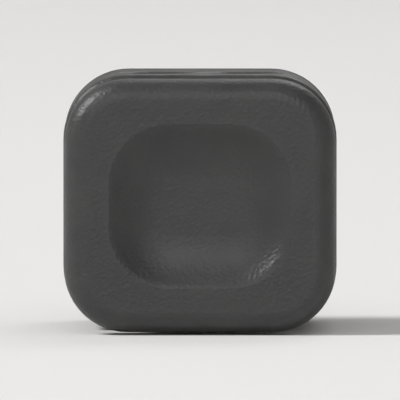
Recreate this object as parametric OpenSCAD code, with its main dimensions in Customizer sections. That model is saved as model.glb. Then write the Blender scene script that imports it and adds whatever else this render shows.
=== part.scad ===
// Two-hole cord lock: a moulded barrel, a plunger with a dished thumb pad, and a coil spring between them.
// Pressing the pad lines the plunger's cord holes up with those of the barrel. Let go, the spring pushes the
// plunger out until its snap lugs meet the front ends of their windows, and what is in the holes is pinched.
// Each piece is drawn with x across the two holes, y along them and z from the closed end to the thumb pad.

/* [Barrel] */
// Outside width, across the two cord holes
barrel_w = 13.6; // [12.6:0.1:18]
// Outside height, along the cord holes
barrel_h = 12.7; // [11.6:0.1:16]
// Length from the closed end to the open mouth
barrel_l = 12.5; // [11.8:0.1:16]
// Radius of the four long corners
corner_r = 3.2; // [2.6:0.1:4]
// Thickness of the side walls
wall = 1.4; // [1.1:0.1:1.7]
// Thickness of the closed end under its finger dish
end_wall = 1.4; // [1:0.1:3]
// Rounding of the edge round the closed end
end_edge_r = 1; // [0.5:0.1:1.5]
// Rounding of the edge round the open mouth
mouth_edge_r = 0.3; // [0.2:0.05:0.5]
// Bevel inside the open mouth, which leads the plunger in
mouth_lead = 0.3; // [0.2:0.05:0.5]

/* [Cord holes] */
// Cord size that the holes are made for
cord_d = 3; // [2.4:0.1:3.4]
// Play round cord of that size in a hole
cord_play = 0.6; // [0.4:0.1:0.8]
// Web between the two holes
hole_web = 0.9; // [0.7:0.1:1.6]
// Rounding of the hole mouths on the barrel
barrel_hole_r = 0.4; // [0.2:0.05:0.6]
// Rounding of the hole mouths on the plunger
plunger_hole_r = 0.25; // [0.15:0.05:0.4]

/* [Plunger] */
// How far the plunger can be pressed
travel = 3; // [2:0.1:4]
// Gap between the plunger and the barrel, all round
slide_gap = 0.12; // [0.08:0.01:0.2]
// Gap left behind the thumb pad when it is fully pressed
stop_gap = 0.15; // [0.1:0.05:0.4]
// Thickness of the thumb pad
pad_t = 2.5; // [2:0.1:4]
// How far the thumb pad's sides stay inside the barrel's
pad_inset = 0.1; // [0:0.05:0.4]
// Rounding of the thumb pad's front edge
pad_edge_r = 1; // [0.5:0.1:1.5]
// Rounding of the thumb pad's rear edge
pad_rear_r = 0.3; // [0.2:0.05:0.5]
// Web between the cord holes and the spring
pinch_web = 1.1; // [0.8:0.1:2]
// Wall of the skirt round the spring
skirt_wall = 1.2; // [0.9:0.1:1.4]
// Gap between the skirt and the closed end when fully pressed
skirt_gap = 0.4; // [0.2:0.1:0.8]

/* [Finger dishes] */
// Width of the rim round a dish
dish_rim = 2; // [1.6:0.1:2.4]
// Depth of a dish
dish_depth = 0.8; // [0.4:0.05:1]
// Width of a dish's sloping side
dish_slope = 2.8; // [2:0.1:3.2]
// Radius of the corners of a dish's flat floor
dish_floor_r = 0.4; // [0.2:0.1:0.8]
// Rounding of the edge where a dish meets its rim
dish_edge_r = 0.9; // [0.6:0.1:1.6]

/* [Snap tongues] */
// Height of a tongue and its lug, along the cord holes
tongue_h = 3.2; // [2.4:0.1:4]
// Width of the slits beside a tongue
slit_w = 0.6; // [0.4:0.1:0.8]
// Length of the tongue's root, between its slits and the web
tongue_root = 0.4; // [0.2:0.1:0.8]
// Length of a lug, along the travel
lug_l = 1.6; // [1.2:0.1:2]
// Step between the end of the skirt and the lug
lug_step = 0.2; // [0.1:0.1:0.4]
// How far a lug stays inside the barrel's side
lug_recess = 0.6; // [0.4:0.1:0.8]
// Gap between a lug and the front end of its window, at rest
lug_stop_gap = 0.05; // [0.02:0.01:0.1]
// Play of a lug at the other sides of its window
window_play = 0.2; // [0.1:0.05:0.4]
// Rounding of a window's corners
window_r = 0.4; // [0.2:0.1:0.6]
// Rounding of a window's edge on the barrel's side
window_edge_r = 0.25; // [0.15:0.05:0.4]
// Rounding of a lug's crest
lug_crest_r = 0.2; // [0.1:0.05:0.3]

/* [Spring] */
// Diameter of the wire
wire_d = 0.5; // [0.4:0.05:0.6]
// Diameter of the coil, at the middle of the wire
coil_d = 4.2; // [3.6:0.1:5]
// Number of turns
turns = 5; // [4:0.5:6]
// Gap between the wires of an end turn and its neighbour, at rest
end_turn_gap = 0.45; // [0.42:0.01:0.5]
// Length to spare between the fully pressed spring and its closed turns
spring_reserve = 0.4; // [0.2:0.1:1]
// Gap between the spring and each seat
seat_gap = 0.05; // [0.02:0.01:0.1]
// Height of the pilots that centre the spring
pilot_h = 1; // [0.6:0.1:1.2]
// Bevel round the tip of a pilot
pilot_bevel = 0.3; // [0.1:0.1:0.5]
// Gap between a pilot and the coil
pilot_gap = 0.15; // [0.1:0.05:0.3]

/* [Hidden] */
$fn = 72;
// How far a cut runs past the face that it opens
over = 1;
// How far a rounding cutter is raised, so that it meets the face at a clear angle
lift = 0.02;
wire_steps = 24;
wire_sides = 8;
plastic = "#424344";
steel = "#b9bbbd";

hole_d = cord_d + cord_play;
hole_x = (hole_d + hole_web) / 2;

// Levels along z: those of the barrel, then those of the plunger at rest
spring_pressed = wire_d * (turns + 1) + spring_reserve;
floor_z = end_wall + dish_depth;
hole_z = floor_z + spring_pressed + pinch_web + hole_d / 2;
skirt_z = floor_z + skirt_gap + travel;
web_z = floor_z + spring_pressed + travel;
pad_z = barrel_l + stop_gap + travel;
total_l = pad_z + pad_t;

// Outlines across the axis
bore_w = barrel_w - 2 * wall;
bore_h = barrel_h - 2 * wall;
bore_r = corner_r - wall;
stem_w = bore_w - 2 * slide_gap;
stem_h = bore_h - 2 * slide_gap;
stem_r = bore_r - slide_gap;
pad_w = barrel_w - 2 * pad_inset;
pad_h = barrel_h - 2 * pad_inset;
pad_r = corner_r - pad_inset;
chamber_w = stem_w - 2 * skirt_wall;
chamber_h = stem_h - 2 * skirt_wall;
chamber_r = min(stem_r, window_r);

// The snap lugs and the windows that they ride in
lug_out = wall + slide_gap - lug_recess;
lug_z = skirt_z + lug_step;
window_low = lug_z - travel - window_play;
window_high = lug_z + lug_l + lug_stop_gap;
window_h = tongue_h + 2 * window_play;

pilot_r = (coil_d - wire_d) / 2 - pilot_gap;

// Sweeps a flat profile round a rounded rectangle. The profile's x runs outwards from the corner's centre,
// its y becomes z, and the core inside the corner centres is filled from low to high.
module round_block(w, h, r, low, high) {
    for (k = [0 : 3]) {
        side_x = (k == 0 || k == 3) ? 1 : -1;
        side_y = k < 2 ? 1 : -1;
        translate([side_x * (w / 2 - r), side_y * (h / 2 - r), 0])
            rotate(90 * k)
                rotate_extrude(angle = 90)
                    children();
    }
    for (turn = [0, 180]) {
        rotate(turn) translate([w / 2 - r, 0, 0]) rotate([90, 0, 0])
            linear_extrude(height = h - 2 * r, center = true)
                children();
        rotate(turn + 90) translate([h / 2 - r, 0, 0]) rotate([90, 0, 0])
            linear_extrude(height = w - 2 * r, center = true)
                children();
    }
    translate([r - w / 2, r - h / 2, low])
        cube([w - 2 * r, h - 2 * r, high - low]);
}

// Profile of a block whose lower and upper edges are rounded
module rounded_edges(r, low, high, low_r, high_r) {
    translate([0, low + low_r]) square([r, high - low - low_r - high_r]);
    translate([0, low]) square([r - low_r, low_r]);
    translate([0, high - high_r]) square([r - high_r, high_r]);
    intersection() {
        translate([r - low_r, low]) square(low_r);
        translate([r - low_r, low + low_r]) circle(low_r);
    }
    intersection() {
        translate([r - high_r, high - high_r]) square(high_r);
        translate([r - high_r, high - high_r]) circle(high_r);
    }
}

// Cuts a finger dish into a face at z = 0: a flat floor whose sides rise in one bowl arc and one edge arc
module finger_dish() {
    arcs = (pow(dish_slope, 2) + pow(dish_depth, 2)) / (2 * dish_depth);
    bowl_r = arcs - dish_edge_r;
    join_x = dish_slope * bowl_r / arcs;
    join_y = dish_depth * bowl_r / arcs - dish_depth;
    dish_r = dish_floor_r + dish_slope;
    translate([0, 0, lift])
        round_block(pad_w - 2 * dish_rim, pad_h - 2 * dish_rim, dish_r, -dish_depth, over) {
            union() {
                translate([0, -dish_depth]) square([dish_floor_r, dish_depth + over]);
                translate([dish_floor_r, 0]) {
                    intersection() {
                        translate([0, -dish_depth]) square([join_x, dish_depth + over]);
                        translate([0, bowl_r - dish_depth]) circle(bowl_r);
                    }
                    difference() {
                        translate([join_x, join_y]) square([dish_slope - join_x, over - join_y]);
                        translate([dish_slope, -dish_edge_r]) circle(dish_edge_r);
                    }
                }
            }
        }
}

// Profile that rounds the mouth of a cut: the cut's side is at x, and the face that it opens is at y
module rounded_mouth(x, y, r) {
    translate([x, y - r + lift])
        difference() {
            square([r, r + over]);
            translate([r, 0]) circle(r);
        }
}

// Cuts the two cord holes along y, with their mouths rounded where they leave a piece of this height
module cord_holes(height, mouth_r) {
    for (side = [-1, 1])
        translate([side * hole_x, 0, 0]) rotate([90, 0, 0])
            rotate_extrude() {
                translate([0, -height / 2 - over]) square([hole_d / 2, height + 2 * over]);
                for (end = [0, 1])
                    mirror([0, end]) rounded_mouth(hole_d / 2, height / 2, mouth_r);
            }
}

// Cuts a window with rounded corners and edges through the side wall on the side of +x
module snap_window() {
    length = window_high - window_low;
    depth = wall + window_play;
    translate([barrel_w / 2, 0, window_low + length / 2]) rotate([0, 90, 0])
        round_block(length, window_h, window_r, -depth, over) {
            union() {
                translate([0, -depth]) square([window_r, depth + over]);
                rounded_mouth(window_r, 0, window_edge_r);
            }
        }
}

// The lug on the tongue at +x: ramped at the rear to snap in, square at the front to hold, with a round crest
module snap_lug() {
    crest_x = stem_w / 2 + lug_out;
    front_z = lug_z + lug_l;
    rotate([90, 0, 0])
        linear_extrude(height = tongue_h, center = true) {
            difference() {
                polygon([
                    [stem_w / 2 - skirt_wall / 2, lug_z],
                    [stem_w / 2, lug_z],
                    [crest_x, lug_z + lug_l / 2],
                    [crest_x, front_z],
                    [stem_w / 2 - skirt_wall / 2, front_z]
                ]);
                translate([crest_x - lug_crest_r + lift, front_z - lug_crest_r + lift])
                    difference() {
                        square(lug_crest_r + over);
                        circle(lug_crest_r);
                    }
            }
        }
}

// Cuts a slit beside a tongue from z = 0 upwards, with a round end so that the tongue's root doesn't crack
module slit() {
    depth = web_z - skirt_z - tongue_root;
    rotate([90, 0, 90])
        linear_extrude(height = 2 * (skirt_wall + slide_gap), center = true) {
            translate([-slit_w / 2, -over]) square([slit_w, depth - slit_w / 2 + over]);
            translate([0, depth - slit_w / 2]) circle(d = slit_w);
        }
}

// Post that centres an end of the spring
module pilot() {
    rotate_extrude()
        polygon([
            [0, 0], [pilot_r, 0], [pilot_r, pilot_h - pilot_bevel],
            [pilot_r - pilot_bevel, pilot_h], [0, pilot_h]
        ]);
}

// Moulded cup, closed at the rear
module barrel_body() {
    difference() {
        round_block(barrel_w, barrel_h, corner_r, 0, barrel_l)
            rounded_edges(corner_r, 0, barrel_l, end_edge_r, mouth_edge_r);
        round_block(bore_w, bore_h, bore_r, floor_z, barrel_l + over)
            polygon([
                [0, floor_z], [bore_r, floor_z], [bore_r, barrel_l - mouth_lead],
                [bore_r + mouth_lead + lift, barrel_l + lift], [bore_r + mouth_lead + lift, barrel_l + over],
                [0, barrel_l + over]
            ]);
        mirror([0, 0, 1]) finger_dish();
        translate([0, 0, hole_z]) cord_holes(barrel_h, barrel_hole_r);
        for (side = [0, 180]) rotate(side) snap_window();
    }
    translate([0, 0, floor_z]) pilot();
}

// Thumb pad, stem with the cord holes, and skirt with its snap tongues
module plunger_body() {
    difference() {
        union() {
            round_block(stem_w, stem_h, stem_r, skirt_z, pad_z + pad_t / 2)
                rounded_edges(stem_r, skirt_z, pad_z + pad_t / 2, pad_rear_r, pad_rear_r);
            round_block(pad_w, pad_h, pad_r, pad_z, total_l)
                rounded_edges(pad_r, pad_z, total_l, pad_rear_r, pad_edge_r);
            for (side = [0, 180]) rotate(side) snap_lug();
        }
        translate([0, 0, total_l]) finger_dish();
        translate([0, 0, hole_z + travel]) cord_holes(stem_h, plunger_hole_r);
        round_block(chamber_w, chamber_h, chamber_r, skirt_z - over, web_z)
            translate([0, skirt_z - over]) square([chamber_r, web_z - skirt_z + over]);
        for (side_x = [-1, 1], side_y = [-1, 1])
            translate([side_x * stem_w / 2, side_y * (tongue_h + slit_w) / 2, skirt_z]) slit();
    }
    translate([0, 0, web_z]) mirror([0, 0, 1]) pilot();
}

// Height of the wire's middle after some turns: the two end turns lie closer than the rest
coil_rise = web_z - floor_z - 2 * seat_gap - wire_d;
end_pitch = wire_d + end_turn_gap;
mid_pitch = (coil_rise - 2 * end_pitch) / (turns - 2);
function rise(t) = t < 1 ? end_pitch * t
    : t > turns - 1 ? coil_rise - end_pitch * (turns - t)
    : end_pitch + mid_pitch * (t - 1);

coil_count = turns * wire_steps;
coil_points = [
    for (i = [0 : coil_count])
        let (t = i / wire_steps)
            [coil_d / 2 * cos(360 * t), coil_d / 2 * sin(360 * t), floor_z + seat_gap + wire_d / 2 + rise(t)]
];

// Least gap between two places on the wire that lie half a turn or more apart
turn_gap = min([
    for (i = [0 : coil_count], j = [i + wire_steps / 2 : 1 : coil_count])
        norm(coil_points[i] - coil_points[j])
]) - wire_d;
echo(str("spring: least gap between its turns at rest ", turn_gap, " mm"));

// One ring of points round the wire at place i
function wire_ring(i) =
    let (
        along = coil_points[min(i + 1, coil_count)] - coil_points[max(i - 1, 0)],
        out = [coil_points[i][0], coil_points[i][1], 0] * 2 / coil_d,
        up = cross(out, along) / norm(cross(out, along))
    )
    [for (k = [0 : wire_sides - 1])
        coil_points[i] + wire_d / 2 * (cos(360 * k / wire_sides) * out + sin(360 * k / wire_sides) * up)];

// Coil of one unbroken wire
module coil() {
    rings = [for (i = [0 : coil_count]) each wire_ring(i)];
    last = coil_count * wire_sides;
    polyhedron(rings, [
        for (i = [0 : coil_count - 1], k = [0 : wire_sides - 1])
            let (
                a = i * wire_sides + k,
                b = i * wire_sides + (k + 1) % wire_sides
            )
            each [[a, b, b + wire_sides], [a, b + wire_sides, a + wire_sides]],
        for (k = [1 : wire_sides - 2]) [0, k + 1, k],
        for (k = [1 : wire_sides - 2]) [last, last + k, last + k + 1]
    ]);
}

// Stands the lock on the flat of its barrel, with the cord holes upright and the thumb pad towards -Y
module stand() {
    translate([0, total_l / 2, barrel_h / 2]) rotate([90, 0, 0]) children();
}

module barrel() {
    color(plastic) stand() barrel_body();
}

module plunger() {
    color(plastic) stand() plunger_body();
}

module spring() {
    color(steel) stand() coil();
}

barrel();
plunger();
spring();
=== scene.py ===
# %% [markdown]
# A spring-loaded cord lock, seen close up.
# On a bench the real lock comes apart into three pieces: a moulded barrel, a moulded plunger with a
# dished thumb pad, and a steel spring between them. Their solids come from the imported frame at their
# real size, so this script only dresses them. It gives each surface its finish, winds a smooth spring
# in place of the plain one, and adds the fine marks that moulding leaves behind.

# %% Load the frame and its helpers
import math

import bmesh
import bpy
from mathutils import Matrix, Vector


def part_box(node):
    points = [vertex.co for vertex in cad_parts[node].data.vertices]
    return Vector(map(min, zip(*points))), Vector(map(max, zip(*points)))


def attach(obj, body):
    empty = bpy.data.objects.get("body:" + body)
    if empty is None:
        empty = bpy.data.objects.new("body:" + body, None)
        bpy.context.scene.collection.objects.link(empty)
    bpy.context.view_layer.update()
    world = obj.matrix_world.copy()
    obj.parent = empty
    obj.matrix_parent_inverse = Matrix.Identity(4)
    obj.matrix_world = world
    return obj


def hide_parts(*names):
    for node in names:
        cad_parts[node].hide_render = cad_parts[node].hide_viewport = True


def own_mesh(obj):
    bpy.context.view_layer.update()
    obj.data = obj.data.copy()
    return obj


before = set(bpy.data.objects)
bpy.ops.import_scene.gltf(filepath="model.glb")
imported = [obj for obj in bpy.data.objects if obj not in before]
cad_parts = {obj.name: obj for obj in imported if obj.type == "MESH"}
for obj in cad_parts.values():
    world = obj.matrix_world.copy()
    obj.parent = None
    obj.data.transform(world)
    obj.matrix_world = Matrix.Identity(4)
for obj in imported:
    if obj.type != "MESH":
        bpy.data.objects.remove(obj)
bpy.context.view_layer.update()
MM = 0.001

# %% [markdown]
# Places are worked out from the boxes of the solids, so nothing has to be fitted by eye. The cord holes
# stand upright along Z and the thumb pad faces -Y, so the barrel's closed end is at its highest Y.

# %% Measure the solids
barrel_low, barrel_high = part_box("barrel")
plunger_low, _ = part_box("plunger")
spring_low, spring_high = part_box("spring")
mid_z = (barrel_low.z + barrel_high.z) / 2

# %% [markdown]
# A material is a network of nodes. Written out in full, every node takes three or four lines, which
# hides what the network does. These short helpers add a node, feed its sockets and do arithmetic, one
# line each. Most values of a noise lie near its middle, so a noise is often stretched from there.

# %% Helpers for node networks
FULL_RANGE = (0.0, 1.0)
MOST_NOISE = (0.3, 0.7)


def feed(tree, socket, value):
    """Links another node's output to a socket, or sets the socket's own value."""
    if isinstance(value, bpy.types.NodeSocket):
        tree.links.new(value, socket)
    else:
        socket.default_value = value


def add(tree, kind, settings=None, **sockets):
    """Adds a shader node. The settings are its menus, and the sockets are named with _ for a space."""
    node = tree.nodes.new("ShaderNode" + kind)
    for name, value in (settings or {}).items():
        setattr(node, name, value)
    for name, value in sockets.items():
        feed(tree, node.inputs[name.replace("_", " ")], value)
    return node


def calc(tree, operation, *values):
    """Arithmetic on one value of the surface."""
    node = add(tree, "Math", {"operation": operation})
    for socket, value in zip(node.inputs, values):
        feed(tree, socket, value)
    return node.outputs["Value"]


def remap(tree, value, old, new=FULL_RANGE):
    """Stretches a value from an old range to a new one, and holds it there."""
    node = add(tree, "MapRange", From_Min=old[0], From_Max=old[1], To_Min=new[0], To_Max=new[1])
    feed(tree, node.inputs["Value"], value)
    return node.outputs["Result"]


def noise(tree, places, **sockets):
    """A cloudy value between 0 and 1, laid on places."""
    return add(tree, "TexNoise", Vector=places, **sockets).outputs["Fac"]


print("node helpers ready")

# %% [markdown]
# An effect that several materials share is a node group: it is built once, and each material places it
# with its own values. All the groups below put out plain masks or heights, so a material decides by
# itself what they do.

# %% Helpers for node groups
def start_group(name, inputs, outputs):
    """Starts a node group and returns it with the values that come in and the sockets that go out."""
    tree = bpy.data.node_groups.new(name, "ShaderNodeTree")
    for label, default in inputs.items():
        kind = "NodeSocketVector" if isinstance(default, tuple) else "NodeSocketFloat"
        socket = tree.interface.new_socket(label, in_out="INPUT", socket_type=kind)
        socket.default_value = default
    for label in outputs:
        tree.interface.new_socket(label, in_out="OUTPUT", socket_type="NodeSocketFloat")
    return tree, tree.nodes.new("NodeGroupInput").outputs, tree.nodes.new("NodeGroupOutput").inputs


def place_group(tree, group, **values):
    """Places a node group in a material and returns its outputs."""
    return add(tree, "Group", {"node_tree": group}, **values).outputs


def in_steps(tree, size):
    """Places on the solid, counted in steps of a size, so that a texture laid on them has that size."""
    steps = add(tree, "VectorMath", {"operation": "SCALE"}, Scale=calc(tree, "DIVIDE", 1.0, size))
    feed(tree, steps.inputs[0], add(tree, "TexCoord").outputs["Object"])
    return steps.outputs[0]


print("group helpers ready")

# %% [markdown]
# Moulded acetal copies the skin of its steel mould. That skin is spark-eroded, so it is covered with
# shallow craters about a fifth of a millimetre across. A picture of the grain would have to be unwrapped
# round every edge. A solid 3D texture runs over all of them without a seam: rounded cells make the
# craters, and a finer noise the burr on them. The group also puts out a slow swell, because thick walls
# sink a little while they cool, and a mottle, for the faint flow of the plastic.

# %% Node group: moulded grain
BURR_SHARE = 0.5


def make_moulded_grain():
    sizes = {"Grain size": 0.2 * MM, "Mottle size": 3.0 * MM}
    tree, given, result = start_group("moulded_grain", sizes, ["Height", "Swell", "Mottle"])
    fine = in_steps(tree, given["Grain size"])
    craters = add(tree, "TexVoronoi", {"feature": "SMOOTH_F1"}, Vector=fine, Scale=1.0, Smoothness=0.5)
    burr = noise(tree, fine, Scale=2.1, Detail=2.0, Roughness=0.6)
    height = calc(tree, "MULTIPLY_ADD", burr, BURR_SHARE, craters.outputs["Distance"])
    feed(tree, result["Height"], height)
    slow = in_steps(tree, given["Mottle size"])
    feed(tree, result["Swell"], noise(tree, slow, Scale=0.8, Detail=0.0))
    flow = noise(tree, slow, Scale=1.0, Detail=4.0, Distortion=0.6)
    feed(tree, result["Mottle"], remap(tree, flow, MOST_NOISE))
    return tree


moulded_grain = make_moulded_grain()
print("group:", moulded_grain.name, len(moulded_grain.nodes), "nodes")

# %% [markdown]
# Edges that fingers rub over turn paler and smoother, and the same paleness also stands in for the
# highlight on their rounding, so it is partly a painted highlight. Short rays sent into the solid find the
# edges: near an outside edge they soon leave it again. The rays are shorter than the thinnest wall, or its
# whole face would count as an edge. A mask from the mesh's own points would depend on how finely the mesh
# is cut up, and this one doesn't. A noise breaks it up, because rubbing is never even.

# %% Node group: rubbed edges, paler as wear and as a painted highlight
FLAT_TO_SHARP = (0.96, 0.70)
PATCH_BAND = (0.35, 0.62)
LEAST_WEAR_AND_HIGHLIGHT = 0.15


def make_rubbed_edges_and_highlight():
    sizes = {"Reach": 1.0 * MM, "Patch size": 0.9 * MM}
    tree, given, result = start_group("rubbed_edges_and_highlight", sizes, ["Wear"])
    rays = add(tree, "AmbientOcclusion", {"inside": True, "only_local": True, "samples": 12})
    feed(tree, rays.inputs["Distance"], given["Reach"])
    # The paler edge found here is wear, and partly a painted highlight on the rounded rim.
    edge = remap(tree, rays.outputs["AO"], FLAT_TO_SHARP)
    patches = noise(tree, in_steps(tree, given["Patch size"]), Scale=1.0, Detail=4.0, Roughness=0.65)
    uneven = remap(tree, patches, PATCH_BAND, (LEAST_WEAR_AND_HIGHLIGHT, 1.0))
    feed(tree, result["Wear"], calc(tree, "MULTIPLY", edge, uneven))
    return tree


rubbed_edges_and_highlight = make_rubbed_edges_and_highlight()
print("group:", rubbed_edges_and_highlight.name, len(rubbed_edges_and_highlight.nodes), "nodes")

# %% [markdown]
# To open the lock, a thumb presses the pad and a finger the closed end, and in time they polish both
# dishes. The polish fades with the distance from the middle of the dish, and a noise frays its border.

# %% Node group: finger polish
POLISH_FADE = (1.0, 0.45)
FRAY_RANGE = (0.8, 1.2)


def make_finger_polish():
    places = {"Middle": (0.0, 0.0, 0.0), "Reach": 4.4 * MM, "Fray size": 1.1 * MM}
    tree, given, result = start_group("finger_polish", places, ["Polish"])
    away = add(tree, "VectorMath", {"operation": "DISTANCE"})
    feed(tree, away.inputs[0], add(tree, "TexCoord").outputs["Object"])
    feed(tree, away.inputs[1], given["Middle"])
    share = calc(tree, "DIVIDE", away.outputs["Value"], given["Reach"])
    fray = noise(tree, in_steps(tree, given["Fray size"]), Scale=1.0, Detail=3.0)
    share = calc(tree, "MULTIPLY", share, remap(tree, fray, MOST_NOISE, FRAY_RANGE))
    feed(tree, result["Polish"], remap(tree, share, POLISH_FADE))
    return tree


finger_polish = make_finger_polish()
print("group:", finger_polish.name, len(finger_polish.nodes), "nodes")

# %% [markdown]
# Handling leaves short hairline scuffs in all directions. A noise that is stretched much longer than wide
# makes streaks, and only its highest values are kept, so that they are thin. The solid is divided into
# random cells, and each cell turns its own streaks another way, so that no direction stands out.

# %% Node group: hairline scuffs
SLENDER = 42.0
STREAK_BAND = (0.68, 0.80)
SCUFFED_BAND = (0.45, 0.65)


def make_hairline_scuffs():
    tree, given, result = start_group("hairline_scuffs", {"Length": 1.8 * MM}, ["Scuffs"])
    places = in_steps(tree, given["Length"])
    cells = add(tree, "TexVoronoi", Vector=places, Scale=0.9)
    spin = add(tree, "VectorMath", {"operation": "SCALE"}, Scale=2 * math.pi)
    feed(tree, spin.inputs[0], cells.outputs["Color"])
    turned = add(tree, "VectorRotate", {"rotation_type": "EULER_XYZ"}, Vector=places)
    feed(tree, turned.inputs["Rotation"], spin.outputs[0])
    thinned = add(tree, "Mapping", Vector=turned.outputs["Vector"], Scale=(1.0, SLENDER, SLENDER))
    streaks = noise(tree, thinned.outputs["Vector"], Scale=1.0, Detail=0.0)
    here_and_there = remap(tree, noise(tree, places, Scale=0.7, Detail=2.0), SCUFFED_BAND)
    scuffs = calc(tree, "MULTIPLY", remap(tree, streaks, STREAK_BAND), here_and_there)
    feed(tree, result["Scuffs"], scuffs)
    return tree


hairline_scuffs = make_hairline_scuffs()
print("group:", hairline_scuffs.name, len(hairline_scuffs.nodes), "nodes")

# %% [markdown]
# A little dust settles on whatever looks up, and dark plastic shows it. The surface's normal says how
# much a place looks up, and small cells that are mostly empty make the specks.

# %% Node group: settled dust
SPECK_SHARE = 0.7
SPECK_EDGE = (0.20, 0.08)
FILM_BAND = (0.40, 0.75)
THINNEST_FILM = 0.1
LOOKS_UP = (0.3, 1.0)


def make_settled_dust():
    tree, given, result = start_group("settled_dust", {"Speck size": 0.28 * MM}, ["Dust"])
    upward = add(tree, "SeparateXYZ", Vector=add(tree, "NewGeometry").outputs["Normal"]).outputs["Z"]
    places = in_steps(tree, given["Speck size"])
    cells = add(tree, "TexVoronoi", Vector=places, Scale=1.0)
    speck = remap(tree, cells.outputs["Distance"], SPECK_EDGE)
    clouds = noise(tree, places, Scale=0.12, Detail=3.0)
    film = remap(tree, clouds, FILM_BAND, (THINNEST_FILM, 1.0))
    specked = calc(tree, "MULTIPLY_ADD", speck, SPECK_SHARE, 1 - SPECK_SHARE)
    cover = calc(tree, "MULTIPLY", film, specked)
    feed(tree, result["Dust"], calc(tree, "MULTIPLY", cover, remap(tree, upward, LOOKS_UP)))
    return tree


settled_dust = make_settled_dust()
print("group:", settled_dust.name, len(settled_dust.nodes), "nodes")

# %% [markdown]
# The two mouldings are charcoal acetal: a neutral grey a little above black, with a soft gloss. The
# colour alone would look like clay. What makes it plastic is the broken highlight, so the roughness will
# move with every effect above, and the grain will bend the normal. The colour comes first: it is paler
# where the plastic is worn, scuffed or dusty, and the pale edges are partly a painted highlight. A mix
# node has several sockets of the same name, so they are picked by number.

# %% Colour of acetal
DARK_FLOW = 0.88
PALE_FLOW = 1.12
WORN_AND_HIGHLIT_SHADE = 2.8
WORN_AND_HIGHLIT_SHARE = 0.6
SCUFFED_SHADE = 2.6
SCUFFED_SHARE = 0.3
DUST_GREY = 0.30
DUST_SHARE = 0.16
COOL_TINT = -0.02
WARM_TINT = 0.01
DUST_TINT = 0.03
MIX_SHARE = 0
MIX_FIRST = 6
MIX_SECOND = 7
MIX_COLOUR = 2


def grey(level, warmth=0.0):
    """A grey as linear red, green, blue and alpha."""
    return (level * (1 + warmth), level, level * (1 - warmth), 1.0)


def blend_colours(tree, share, first, second):
    """Goes from a first colour to a second as the share goes from 0 to 1."""
    node = add(tree, "Mix", {"data_type": "RGBA"})
    for index, value in ((MIX_SHARE, share), (MIX_FIRST, first), (MIX_SECOND, second)):
        feed(tree, node.inputs[index], value)
    return node.outputs[MIX_COLOUR]


def acetal_colour(tree, shade, mottle, wear_and_highlight, scuffs, dust):
    dark = grey(shade * DARK_FLOW, COOL_TINT)
    pale = grey(shade * PALE_FLOW, WARM_TINT)
    colour = blend_colours(tree, mottle, dark, pale)
    layers = (
        # Paler edges: wear, and partly a painted highlight on the rim.
        (wear_and_highlight, WORN_AND_HIGHLIT_SHARE, grey(shade * WORN_AND_HIGHLIT_SHADE)),
        (scuffs, SCUFFED_SHARE, grey(shade * SCUFFED_SHADE)),
        (dust, DUST_SHARE, grey(DUST_GREY, DUST_TINT)),
    )
    for mask, share, tint in layers:
        colour = blend_colours(tree, calc(tree, "MULTIPLY", mask, share), colour, tint)
    return colour


# The paler edges are wear and partly a painted highlight.
print("acetal goes up to", WORN_AND_HIGHLIT_SHADE, "times its shade where it is worn")

# %% [markdown]
# The relief is the grain on top of the swell. Rubbed edges and polish level the grain, but they leave the
# swell. A bump node tilts the normal as the relief would, which is enough for marks as shallow as these.

# %% Relief of acetal
LEVELLED_GRAIN = 0.35
POLISH_TO_WEAR = 0.5
SWELL_SHARE = 3.0


def acetal_relief(tree, grain, wear_and_highlight, polish, depth):
    rubbed = calc(tree, "MULTIPLY_ADD", polish, POLISH_TO_WEAR, wear_and_highlight)
    left_over = remap(tree, rubbed, FULL_RANGE, (1.0, LEVELLED_GRAIN))
    height = calc(tree, "MULTIPLY", grain["Height"], left_over)
    height = calc(tree, "MULTIPLY_ADD", grain["Swell"], SWELL_SHARE, height)
    return add(tree, "Bump", Height=height, Strength=1.0, Distance=depth).outputs["Normal"]


print("rubbed grain keeps", LEVELLED_GRAIN, "of its depth")

# %% [markdown]
# The plunger's stem slides through the barrel's mouth, which leaves fine bright lines along it. They are
# a noise again, stretched along Y, and they begin behind the pad. Only the plunger has them, so this is a
# function of its own and not a group.

# %% Slide marks of the stem
SLIDE_LINE = 0.13 * MM
SLIDE_STRETCH = 0.03
SLIDE_BAND = (0.5, 0.7)
SLIDE_SHARE = 0.55
SLIDE_FADE = 0.2 * MM
PAD_THICKNESS = 2.5 * MM


def slide_marks(tree, start):
    """A mask of fine lines along Y, beyond a starting level."""
    drawn = add(tree, "Mapping", Vector=in_steps(tree, SLIDE_LINE), Scale=(1.0, SLIDE_STRETCH, 1.0))
    streaks = noise(tree, drawn.outputs["Vector"], Scale=1.0)
    lines = remap(tree, streaks, SLIDE_BAND, (0.0, SLIDE_SHARE))
    level = add(tree, "SeparateXYZ", Vector=add(tree, "TexCoord").outputs["Object"]).outputs["Y"]
    return calc(tree, "MULTIPLY", lines, remap(tree, level, (start, start + SLIDE_FADE)))


stem_start = plunger_low.y + PAD_THICKNESS
print("slide marks begin at", round(stem_start / MM, 2), "mm along Y")

# %% [markdown]
# Each moulding gets a material of its own. The barrel's grain is a little coarser and duller than the
# plunger's, because the two come out of different moulds, and each has its own dish to be polished.

# %% Material: charcoal acetal
MOTTLE_ROUGHENS = 0.05
WEAR_ROUGHENS = -0.13
POLISH_ROUGHENS = -0.07
SCUFFS_ROUGHEN = 0.12
DUST_ROUGHENS = 0.25


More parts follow.
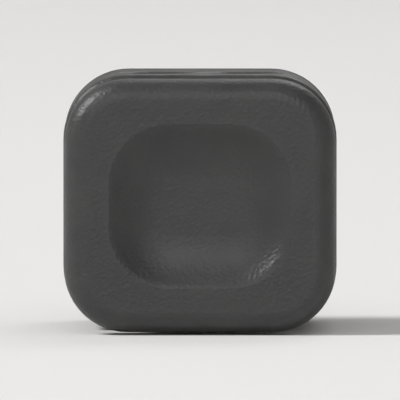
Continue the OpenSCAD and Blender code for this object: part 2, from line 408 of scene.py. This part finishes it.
def charcoal_acetal(name, shade, grain_size, grain_depth, roughness, pressed_at, slides_from=None):
    material = bpy.data.materials.new(name)
    material.use_nodes = True
    tree = material.node_tree
    shader = tree.nodes["Principled BSDF"]
    grain = place_group(tree, moulded_grain, Grain_size=grain_size)
    # The edge mask is wear, and in the colour partly a painted highlight.
    wear_and_highlight = place_group(tree, rubbed_edges_and_highlight)["Wear"]
    if slides_from is not None:
        wear_and_highlight = calc(tree, "MAXIMUM", wear_and_highlight, slide_marks(tree, slides_from))
    polish = place_group(tree, finger_polish, Middle=pressed_at)["Polish"]
    scuffs = place_group(tree, hairline_scuffs)["Scuffs"]
    dust = place_group(tree, settled_dust)["Dust"]
    colour = acetal_colour(tree, shade, grain["Mottle"], wear_and_highlight, scuffs, dust)
    feed(tree, shader.inputs["Base Color"], colour)
    extremes = (roughness - MOTTLE_ROUGHENS, roughness + MOTTLE_ROUGHENS)
    rough = remap(tree, grain["Mottle"], FULL_RANGE, extremes)
    rough = calc(tree, "MULTIPLY_ADD", wear_and_highlight, WEAR_ROUGHENS, rough)
    rough = calc(tree, "MULTIPLY_ADD", polish, POLISH_ROUGHENS, rough)
    rough = calc(tree, "MULTIPLY_ADD", scuffs, SCUFFS_ROUGHEN, rough)
    rough = calc(tree, "MULTIPLY_ADD", dust, DUST_ROUGHENS, rough)
    feed(tree, shader.inputs["Roughness"], rough)
    feed(tree, shader.inputs["Normal"], acetal_relief(tree, grain, wear_and_highlight, polish, grain_depth))
    return material


end_middle = (0.0, barrel_high.y, mid_z)
pad_middle = (0.0, plunger_low.y, mid_z)
barrel_skin = charcoal_acetal(
    "barrel_skin", shade=0.028, grain_size=0.20 * MM, grain_depth=0.026 * MM, roughness=0.45,
    pressed_at=end_middle,
)
plunger_skin = charcoal_acetal(
    "plunger_skin", shade=0.029, grain_size=0.18 * MM, grain_depth=0.020 * MM, roughness=0.43,
    pressed_at=pad_middle, slides_from=stem_start,
)
print("materials:", barrel_skin.name, plunger_skin.name)

# %% [markdown]
# The barrel and the plunger already have their true shape, with their edges rounded, so their solids stay
# and only take the new skin.

# %% Dress the barrel and the plunger
for node, skin in (("barrel", barrel_skin), ("plunger", plunger_skin)):
    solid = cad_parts[node]
    solid.data.materials.clear()
    solid.data.materials.append(skin)
    print(node, "wears", skin.name)

# %% [markdown]
# All the meshes that follow are skins over rings of points: along the wire, along a mould line, on the
# gate and on the floor. One helper joins each ring to the next with smooth faces, another closes the
# ends, and a third puts the mesh in the scene.

# %% Helpers for meshes
def join_rings(mesh, rings):
    """Joins each ring of points to the next, and returns the faces ring by ring."""
    rows = []
    for near, far in zip(rings, rings[1:]):
        row = []
        for k in range(len(near)):
            after = (k + 1) % len(near)
            face = mesh.faces.new((near[k], near[after], far[after], far[k]))
            face.smooth = True
            row.append(face)
        rows.append(row)
    return rows


def close_ends(mesh, rings):
    """Covers the first and the last ring, so that the skin is a closed solid."""
    mesh.faces.new(reversed(rings[0]))
    mesh.faces.new(rings[-1])


def put_in_scene(name, mesh, material):
    """Turns a finished mesh into an object with a material."""
    bmesh.ops.recalc_face_normals(mesh, faces=mesh.faces)
    data = bpy.data.meshes.new(name)
    mesh.to_mesh(data)
    mesh.free()
    data.materials.append(material)
    piece = bpy.data.objects.new(name, data)
    bpy.context.scene.collection.objects.link(piece)
    print(name, "has", len(data.polygons), "faces")
    return piece


print("mesh helpers ready")

# %% [markdown]
# The spring is one length of drawn steel wire, wound with its first and last turn closed so that it sits
# flat. A curve with a round bevel would draw it too, but the faces of a mesh that is swept here can be told
# how far along the wire they lie, which the drawing marks need. First comes the middle of the wire: it
# turns evenly, and its climb eases from the closed turns to the open ones and back.

# %% The way of the wire
WIRE = 0.5 * MM
TURNS = 5
CLOSED_TURNS = 2
OPENS_AT = 0.5
STEPS_A_TURN = 48
CLOSED_PITCH = WIRE * 1.04

coil_radius = (spring_high.x - spring_low.x - WIRE) / 2
spring_length = spring_high.y - spring_low.y
open_pitch = (spring_length - WIRE - CLOSED_TURNS * CLOSED_PITCH) / (TURNS - CLOSED_TURNS)


def ease(t):
    """Goes smoothly from 0 to 1."""
    t = min(max(t, 0.0), 1.0)
    return t * t * (3 - 2 * t)


def wire_way():
    """Lists the middle of the wire, with the directions out of the coil and across the wire."""
    places = []
    climbed = 0.0
    for step in range(TURNS * STEPS_A_TURN + 1):
        turn = step / STEPS_A_TURN
        opened = ease(turn - OPENS_AT) * ease(TURNS - OPENS_AT - turn)
        pitch = CLOSED_PITCH + (open_pitch - CLOSED_PITCH) * opened
        angle = 2 * math.pi * turn
        outward = Vector((math.cos(angle), 0, math.sin(angle)))
        sideways = Vector((-math.sin(angle), 0, math.cos(angle)))
        forward = sideways * coil_radius - Vector((0, pitch / (2 * math.pi), 0))
        middle = Vector((0, spring_high.y - WIRE / 2 - climbed, mid_z)) + outward * coil_radius
        places.append((middle, outward, outward.cross(forward).normalized()))
        climbed += pitch / STEPS_A_TURN
    return places


way = wire_way()
print("wire:", len(way), "places, coil radius", round(coil_radius / MM, 2), "mm")

# %% [markdown]
# A ring of points goes round each place, and the rings become the wire. Each corner of a face also keeps
# how far along and how far round the wire it is. Those two numbers are a UV map, the usual way to tell a
# texture where it lies.

# %% Wind the spring
WIRE_SIDES = 16


def wound_wire():
    mesh = bmesh.new()
    wire_uv = mesh.loops.layers.uv.new("wire")
    angles = [2 * math.pi * k / WIRE_SIDES for k in range(WIRE_SIDES)]
    rings = []
    for middle, outward, across in way:
        spokes = [outward * math.cos(a) + across * math.sin(a) for a in angles]
        rings.append([mesh.verts.new(middle + spoke * WIRE / 2) for spoke in spokes])
    for step, row in enumerate(join_rings(mesh, rings)):
        for side, face in enumerate(row):
            corners = ((step, side), (step, side + 1), (step + 1, side + 1), (step + 1, side))
            for loop, (along, around) in zip(face.loops, corners):
                loop[wire_uv].uv = (along / STEPS_A_TURN, around / WIRE_SIDES)
    close_ends(mesh, rings)
    return mesh


spring_mesh = wound_wire()
print("spring:", len(spring_mesh.verts), "points")

# %% [markdown]
# Drawn wire is bright, with fine lines along its length from the die and a thin film of oil. A noise that
# is laid on the UV map, and is long in the direction of the wire, draws the lines.

# %% Material: drawn steel
DIE_LINES = (1.5, 26.0, 1.0)
DIE_BAND = (0.35, 0.65)
DULL_STEEL = grey(0.50, -0.01)
BRIGHT_STEEL = grey(0.62, -0.01)
DULL_TO_BRIGHT_ROUGHNESS = (0.36, 0.22)
SCORE_DEPTH = 0.003 * MM
OILED_STEEL = grey(0.30, 0.06)
OIL_PATCH = 0.9 * MM
OIL_BAND = (0.40, 0.65)
OIL_SHARE = 0.35


def drawn_steel(name):
    material = bpy.data.materials.new(name)
    material.use_nodes = True
    tree = material.node_tree
    shader = tree.nodes["Principled BSDF"]
    shader.inputs["Metallic"].default_value = 1.0
    wire = add(tree, "UVMap", {"uv_map": "wire"}).outputs["UV"]
    drawn = add(tree, "Mapping", Vector=wire, Scale=DIE_LINES).outputs["Vector"]
    streak = remap(tree, noise(tree, drawn), DIE_BAND)
    oil = remap(tree, noise(tree, in_steps(tree, OIL_PATCH), Scale=1.0, Detail=3.0), OIL_BAND)
    colour = blend_colours(tree, streak, DULL_STEEL, BRIGHT_STEEL)
    colour = blend_colours(tree, calc(tree, "MULTIPLY", oil, OIL_SHARE), colour, OILED_STEEL)
    feed(tree, shader.inputs["Base Color"], colour)
    rough = remap(tree, streak, FULL_RANGE, DULL_TO_BRIGHT_ROUGHNESS)
    feed(tree, shader.inputs["Roughness"], rough)
    scored = add(tree, "Bump", Height=streak, Strength=1.0, Distance=SCORE_DEPTH)
    feed(tree, shader.inputs["Normal"], scored.outputs["Normal"])
    return material


spring_wire = drawn_steel("spring_wire")
print("material:", spring_wire.name)

# %% [markdown]
# The wound spring stands for the plain one. It rests against the barrel's closed end, so it rides on the
# barrel.

# %% Set the spring in the barrel
spring = put_in_scene("wound_spring", spring_mesh, spring_wire)
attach(spring, "barrel")
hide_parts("spring")
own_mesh(spring)

# %% [markdown]
# Where the halves of a mould meet, a moulding keeps a fine raised line. A line drawn in the material
# would vanish at the outline, so this is a thin band of mesh. Rays sent in from all sides find the
# moulding's own skin, and the band is laid on it. Its section lists places across the band, as shares of
# its width, each with its height over the skin.

# %% Lay a mould line on a skin
LINE_HEIGHT = 0.03 * MM
LINE_WIDTH = 0.09 * MM
LINE_SINK = 0.04 * MM
LINE_STEPS = 288
LINE_LEFT = [(-0.5, -LINE_SINK), (-0.5, 0.0), (-0.2, LINE_HEIGHT)]
LINE_SECTION = LINE_LEFT + [(-w, h) for w, h in reversed(LINE_LEFT)]


def skin_at(node, start, direction):
    """Where a ray first meets a solid, with the skin's normal there."""
    hit, place, normal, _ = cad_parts[node].ray_cast(start, direction)
    if not hit:
        raise ValueError("the ray misses " + node)
    return place, normal


def mould_line(node, level):
    """Lays a fine raised line round a moulding, at a level along Y."""
    axis = Vector((0, level, mid_z))
    far_off = (barrel_high.x - barrel_low.x) * 2
    across = Vector((0, LINE_WIDTH, 0))
    mesh = bmesh.new()
    rings = []
    for step in range(LINE_STEPS):
        angle = 2 * math.pi * step / LINE_STEPS
        outward = Vector((math.cos(angle), 0, math.sin(angle)))
        place, normal = skin_at(node, axis + outward * far_off, -outward)
        rings.append([mesh.verts.new(place + across * w + normal * h) for w, h in LINE_SECTION])
    join_rings(mesh, rings + rings[:1])
    return mesh


bpy.context.view_layer.update()
print("a mould line is", round(LINE_HEIGHT / MM, 3), "mm high and", round(LINE_WIDTH / MM, 3), "mm wide")

# %% [markdown]
# The pad has its line where its side is flat, just in front of its rear edge. The barrel has one near its
# closed end. Each line belongs to its moulding, so it rides with it and takes its finish.

# %% Mould lines of the pad and the barrel
PAD_LINE_AT = 1.95 * MM
BARREL_LINE_AT = 1.2 * MM

pad_band = mould_line("plunger", plunger_low.y + PAD_LINE_AT)
pad_line = put_in_scene("pad_mould_line", pad_band, plunger_skin)
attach(pad_line, "plunger")
barrel_band = mould_line("barrel", barrel_high.y - BARREL_LINE_AT)
barrel_line = put_in_scene("barrel_mould_line", barrel_band, barrel_skin)
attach(barrel_line, "barrel")

# %% [markdown]
# The plastic entered the barrel's mould at the middle of its closed end. There a small disc stands a
# little proud, with the torn stub of the runner in it. It is turned from a profile like a pot on a wheel,
# and two waves round the stub make it look torn.

# %% Gate mark on the closed end
GATE_STEPS = 48
DISC_PROFILE_MM = [(0.62, -0.05), (0.60, 0.03), (0.55, 0.045), (0.36, 0.045), (0.32, 0.01), (0.27, 0.02)]
STUB_PROFILE_MM = [(0.22, 0.09), (0.03, 0.07)]
WIDE_WAVES = 3
WIDE_WAVE_MM = 0.016
WIDE_WAVE_START = 0.6
FINE_WAVES = 7
FINE_WAVE_MM = 0.009


def torn(angle):
    """How far the stub's rim stands above or below its profile, in millimetres."""
    wide = WIDE_WAVE_MM * math.sin(WIDE_WAVES * angle + WIDE_WAVE_START)
    return wide + FINE_WAVE_MM * math.sin(FINE_WAVES * angle)


def gate_mark():
    outside = Vector((0, barrel_high.y * 3, mid_z))
    inward = Vector((0, -1, 0))
    centre, _ = skin_at("barrel", outside, inward)
    mesh = bmesh.new()
    rings = []
    for radius, height in DISC_PROFILE_MM + STUB_PROFILE_MM:
        uneven = 1.0 if (radius, height) == STUB_PROFILE_MM[0] else 0.0
        ring = []
        for step in range(GATE_STEPS):
            angle = 2 * math.pi * step / GATE_STEPS
            rise = height + torn(angle) * uneven
            offset = Vector((radius * math.cos(angle), rise, radius * math.sin(angle)))
            ring.append(mesh.verts.new(centre + offset * MM))
        rings.append(ring)
    join_rings(mesh, rings)
    close_ends(mesh, rings)
    return mesh


gate = put_in_scene("barrel_gate_mark", gate_mark(), barrel_skin)
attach(gate, "barrel")

# %% [markdown]
# The lock lies on pale paper that sweeps up all round, as in a light tent, so every view has the same
# backdrop. A flat sheet would show its far edge as a line. The bend starts so far off that it never shows
# as a shadow behind the lock.

# %% Floor and backdrop
SWEEP_RADIUS = 4.2
SWEEP_BEND = 2.4
SWEEP_RISE = 4.0
SWEEP_STEPS = 24
SWEEP_AROUND = 96
FLOOR_GAP = 0.03 * MM
PAPER = grey(0.80, 0.01)
PAPER_ROUGHNESS = 0.9


def sweep_profile():
    """Lists radius and height from the edge of the flat floor up the bend to the top of the wall."""
    profile = []
    for step in range(SWEEP_STEPS + 1):
        angle = math.pi / 2 * step / SWEEP_STEPS
        radius = SWEEP_RADIUS - SWEEP_BEND + SWEEP_BEND * math.sin(angle)
        profile.append((radius, SWEEP_BEND - SWEEP_BEND * math.cos(angle) - FLOOR_GAP))
    return profile + [(SWEEP_RADIUS, SWEEP_RISE)]


def paper_sweep():
    mesh = bmesh.new()
    angles = [2 * math.pi * k / SWEEP_AROUND for k in range(SWEEP_AROUND)]
    rings = []
    for radius, height in sweep_profile():
        points = [(radius * math.cos(a), radius * math.sin(a), height) for a in angles]
        rings.append([mesh.verts.new(point) for point in points])
    mesh.faces.new(reversed(rings[0]))
    join_rings(mesh, rings)
    return mesh


paper = bpy.data.materials.new("pale_paper")
paper.use_nodes = True
paper_shader = paper.node_tree.nodes["Principled BSDF"]
paper_shader.inputs["Base Color"].default_value = PAPER
paper_shader.inputs["Roughness"].default_value = PAPER_ROUGHNESS
floor = put_in_scene("paper_sweep", paper_sweep(), paper)

# %% [markdown]
# The photograph is lit from high on the left, so a soft lamp stands there. It is small enough to leave a
# glint on the pad's upper left edge. A wide, weaker one in front is mirrored in the pad and lets the dish
# be seen, and one behind draws the upper edges. The lamps stand far off, so the paper is lit evenly, and
# their sum is set so that it renders about as pale as it is.

# %% Lamps and world
AIR_STRENGTH = 0.28

target = Vector((0, 0, mid_z))


def soft_lamp(name, place, size, watts):
    lamp = bpy.data.lights.new(name, "AREA")
    lamp.shape = "DISK"
    lamp.size = size
    lamp.energy = watts
    holder = bpy.data.objects.new(name, lamp)
    holder.location = place
    holder.rotation_euler = (target - Vector(place)).to_track_quat("-Z", "Y").to_euler()
    bpy.context.scene.collection.objects.link(holder)
    return holder


lamps = [
    soft_lamp("key_lamp", place=(-1.90, -0.45, 1.90), size=1.0, watts=58.0),
    soft_lamp("front_lamp", place=(-0.10, -2.60, 1.30), size=2.2, watts=20.0),
    soft_lamp("back_lamp", place=(0.50, 1.80, 1.70), size=1.2, watts=8.0),
]
air = bpy.data.worlds.new("studio_air")
air.use_nodes = True
air_shader = air.node_tree.nodes["Background"]
air_shader.inputs["Color"].default_value = grey(1.0)
air_shader.inputs["Strength"].default_value = AIR_STRENGTH
bpy.context.scene.world = air
bpy.context.scene.view_settings.view_transform = "Standard"
print("lamps:", [lamp.name for lamp in lamps])

# %% [markdown]
# The photograph looks straight at the thumb pad, from a little above and from far off, so the far end of
# the lock doesn't shrink. A long lens at a distance gives the same, where a short one close by would swell
# the pad. The frame is closer than that of the photograph, which shows the lock very small.

# %% Camera
ELEVATION = math.radians(2)
LENS = 1200.0
VIEW_WIDTH = 20 * MM
NEAREST_SEEN = 0.01


def long_lens_camera():
    lens = bpy.data.cameras.new("camera")
    lens.lens = LENS
    lens.clip_start = NEAREST_SEEN
    camera = bpy.data.objects.new("camera", lens)
    away = VIEW_WIDTH * LENS / lens.sensor_width
    camera.location = target + away * Vector((0, -math.cos(ELEVATION), math.sin(ELEVATION)))
    camera.rotation_euler = (target - camera.location).to_track_quat("-Z", "Y").to_euler()
    bpy.context.scene.collection.objects.link(camera)
    return camera


bpy.context.scene.camera = long_lens_camera()
print("camera at", [round(v, 4) for v in bpy.context.scene.camera.location])

# %% [markdown]
# Last, the scene is brought up to date. Dressing mustn't change the lock's size.

# %% Finish
bpy.context.view_layer.update()
